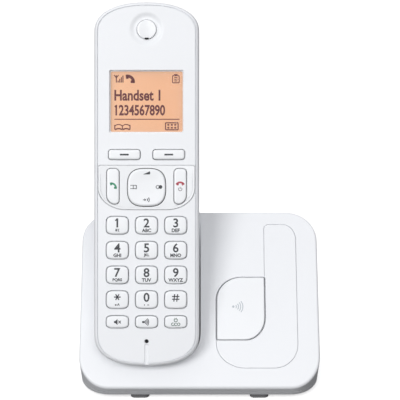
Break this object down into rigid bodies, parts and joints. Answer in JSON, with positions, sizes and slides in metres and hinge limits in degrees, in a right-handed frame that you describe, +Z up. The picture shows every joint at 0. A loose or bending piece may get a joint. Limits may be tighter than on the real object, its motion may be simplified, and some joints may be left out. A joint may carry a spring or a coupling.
{
  "type": "cordless phone with base",
  "caption": "Cordless telephone: a slim keypad handset with a lit display standing in the cradle of a sloping charging base with a locator button.",
  "frame": {"origin": "middle of the bounding box, on the surface that the rubber feet stand on", "axes": "+Z up, the display, keys and the base's sloping face look towards -Y, +X to the right of a person facing them"},
  "size_m": [0.109, 0.0868, 0.1663],
  "materials": {
    "white_cover": "moulded white plastic, fine satin grain",
    "white_key": "smooth satin white keys with printed grey marks",
    "white_trim": "smooth glossy white trim",
    "display_window": "clear polished window over an amber backlit display",
    "display_panel": "amber liquid crystal panel",
    "light_guide": "milky light guide",
    "key_rubber": "pale silicone rubber",
    "foot_rubber": "dark grey rubber",
    "circuit_board": "green solder mask",
    "black_plastic": "black moulded plastic",
    "cell_wrap": "plain printed sleeve on a steel can",
    "contact_metal": "plated spring metal",
    "steel": "zinc plated steel"
  },
  "bodies": {
    "base": {"base_top_cover": "white_cover", "base_bottom_cover": "white_cover", "line_socket": "black_plastic", "power_socket": "black_plastic", "locator_switch": "black_plastic", "base_board": "circuit_board", "base_screw_left": "steel", "base_screw_right": "steel", "foot_front_left": "foot_rubber", "foot_front_right": "foot_rubber", "foot_back_left": "foot_rubber", "foot_back_right": "foot_rubber"},
    "handset": {"handset_front_cover": "white_cover", "handset_rear_cover": "white_cover", "ear_cap": "white_trim", "display_lens": "display_window", "lcd_panel": "display_panel", "lcd_holder": "light_guide", "control_trim": "white_trim", "receiver_capsule": "black_plastic", "ringer_speaker": "black_plastic", "microphone": "black_plastic", "keypad_mat": "key_rubber", "handset_board": "circuit_board", "battery_link": "contact_metal", "battery_terminal": "contact_metal", "battery_cell_left": "cell_wrap", "battery_cell_right": "cell_wrap", "handset_contact_left": "contact_metal", "handset_contact_right": "contact_metal", "handset_screw_left": "steel", "handset_screw_right": "steel"},
    "battery_cover": {"battery_cover": "white_cover"},
    "navigator_plunger": {"navigator_plunger": "key_rubber"},
    "navigator_key": {"navigator_key": "white_key"},
    "locator_button": {"locator_button": "white_key"},
    "charge_pin_left": {"charge_pin_left": "contact_metal"},
    "charge_pin_right": {"charge_pin_right": "contact_metal"},
    "key_1": {"key_1": "white_key"},
    "key_2": {"key_2": "white_key"},
    "key_3": {"key_3": "white_key"},
    "key_4": {"key_4": "white_key"},
    "key_5": {"key_5": "white_key"},
    "key_6": {"key_6": "white_key"},
    "key_7": {"key_7": "white_key"},
    "key_8": {"key_8": "white_key"},
    "key_9": {"key_9": "white_key"},
    "key_star": {"key_star": "white_key"},
    "key_0": {"key_0": "white_key"},
    "key_hash": {"key_hash": "white_key"},
    "key_mute": {"key_mute": "white_key"},
    "key_speaker": {"key_speaker": "white_key"},
    "key_eco": {"key_eco": "white_key"},
    "soft_key_left": {"soft_key_left": "white_key"},
    "soft_key_right": {"soft_key_right": "white_key"},
    "talk_key": {"talk_key": "white_key"},
    "off_key": {"off_key": "white_key"}
  },
  "joints": [
    {"name": "handset_lift", "type": "slide", "parent": "base", "child": "handset", "axis": [0, 0.4226, 0.9063], "range_m": [0, 0.06]},
    {"name": "battery_cover_slide", "type": "slide", "parent": "handset", "child": "battery_cover", "axis": [0, -0.4226, -0.9063], "range_m": [0, 0.008]},
    {"name": "navigator_up_down", "type": "hinge", "parent": "handset", "child": "navigator_plunger", "pos_m": [-0.0236, -0.00798, 0.09102], "axis": [1, 0, 0], "range_deg": [-3, 3], "stiffness_Nm_per_rad": 0.02},
    {"name": "navigator_left_right", "type": "hinge", "parent": "navigator_plunger", "child": "navigator_key", "pos_m": [-0.0236, -0.00798, 0.09102], "axis": [0, 0.4226, 0.9063], "range_deg": [-3, 3], "stiffness_Nm_per_rad": 0.02},
    {"name": "locator_button_press", "type": "slide", "parent": "base", "child": "locator_button", "axis": [0, 0.7314, -0.682], "range_m": [0, 0.0012], "stiffness_N_per_m": 300},
    {"name": "charge_pin_left_press", "type": "slide", "parent": "base", "child": "charge_pin_left", "axis": [0, -0.4226, -0.9063], "range_m": [0, 0.0012], "stiffness_N_per_m": 300},
    {"name": "charge_pin_right_press", "type": "slide", "parent": "base", "child": "charge_pin_right", "axis": [0, -0.4226, -0.9063], "range_m": [0, 0.0012], "stiffness_N_per_m": 300},
    {"name": "key_1_press", "type": "slide", "parent": "handset", "child": "key_1", "axis": [0, 0.9063, -0.4226], "range_m": [0, 0.0008], "stiffness_N_per_m": 400},
    {"name": "key_2_press", "type": "slide", "parent": "handset", "child": "key_2", "axis": [0, 0.9063, -0.4226], "range_m": [0, 0.0008], "stiffness_N_per_m": 400},
    {"name": "key_3_press", "type": "slide", "parent": "handset", "child": "key_3", "axis": [0, 0.9063, -0.4226], "range_m": [0, 0.0008], "stiffness_N_per_m": 400},
    {"name": "key_4_press", "type": "slide", "parent": "handset", "child": "key_4", "axis": [0, 0.9063, -0.4226], "range_m": [0, 0.0008], "stiffness_N_per_m": 400},
    {"name": "key_5_press", "type": "slide", "parent": "handset", "child": "key_5", "axis": [0, 0.9063, -0.4226], "range_m": [0, 0.0008], "stiffness_N_per_m": 400},
    {"name": "key_6_press", "type": "slide", "parent": "handset", "child": "key_6", "axis": [0, 0.9063, -0.4226], "range_m": [0, 0.0008], "stiffness_N_per_m": 400},
    {"name": "key_7_press", "type": "slide", "parent": "handset", "child": "key_7", "axis": [0, 0.9063, -0.4226], "range_m": [0, 0.0008], "stiffness_N_per_m": 400},
    {"name": "key_8_press", "type": "slide", "parent": "handset", "child": "key_8", "axis": [0, 0.9063, -0.4226], "range_m": [0, 0.0008], "stiffness_N_per_m": 400},
    {"name": "key_9_press", "type": "slide", "parent": "handset", "child": "key_9", "axis": [0, 0.9063, -0.4226], "range_m": [0, 0.0008], "stiffness_N_per_m": 400},
    {"name": "key_star_press", "type": "slide", "parent": "handset", "child": "key_star", "axis": [0, 0.9063, -0.4226], "range_m": [0, 0.0008], "stiffness_N_per_m": 400},
    {"name": "key_0_press", "type": "slide", "parent": "handset", "child": "key_0", "axis": [0, 0.9063, -0.4226], "range_m": [0, 0.0008], "stiffness_N_per_m": 400},
    {"name": "key_hash_press", "type": "slide", "parent": "handset", "child": "key_hash", "axis": [0, 0.9063, -0.4226], "range_m": [0, 0.0008], "stiffness_N_per_m": 400},
    {"name": "key_mute_press", "type": "slide", "parent": "handset", "child": "key_mute", "axis": [0, 0.9063, -0.4226], "range_m": [0, 0.0008], "stiffness_N_per_m": 400},
    {"name": "key_speaker_press", "type": "slide", "parent": "handset", "child": "key_speaker", "axis": [0, 0.9063, -0.4226], "range_m": [0, 0.0008], "stiffness_N_per_m": 400},
    {"name": "key_eco_press", "type": "slide", "parent": "handset", "child": "key_eco", "axis": [0, 0.9063, -0.4226], "range_m": [0, 0.0008], "stiffness_N_per_m": 400},
    {"name": "soft_key_left_press", "type": "slide", "parent": "handset", "child": "soft_key_left", "axis": [0, 0.9063, -0.4226], "range_m": [0, 0.0008], "stiffness_N_per_m": 400},
    {"name": "soft_key_right_press", "type": "slide", "parent": "handset", "child": "soft_key_right", "axis": [0, 0.9063, -0.4226], "range_m": [0, 0.0008], "stiffness_N_per_m": 400},
    {"name": "talk_key_press", "type": "slide", "parent": "handset", "child": "talk_key", "axis": [0, 0.9063, -0.4226], "range_m": [0, 0.0008], "stiffness_N_per_m": 400},
    {"name": "off_key_press", "type": "slide", "parent": "handset", "child": "off_key", "axis": [0, 0.9063, -0.4226], "range_m": [0, 0.0008], "stiffness_N_per_m": 400}
  ]
}
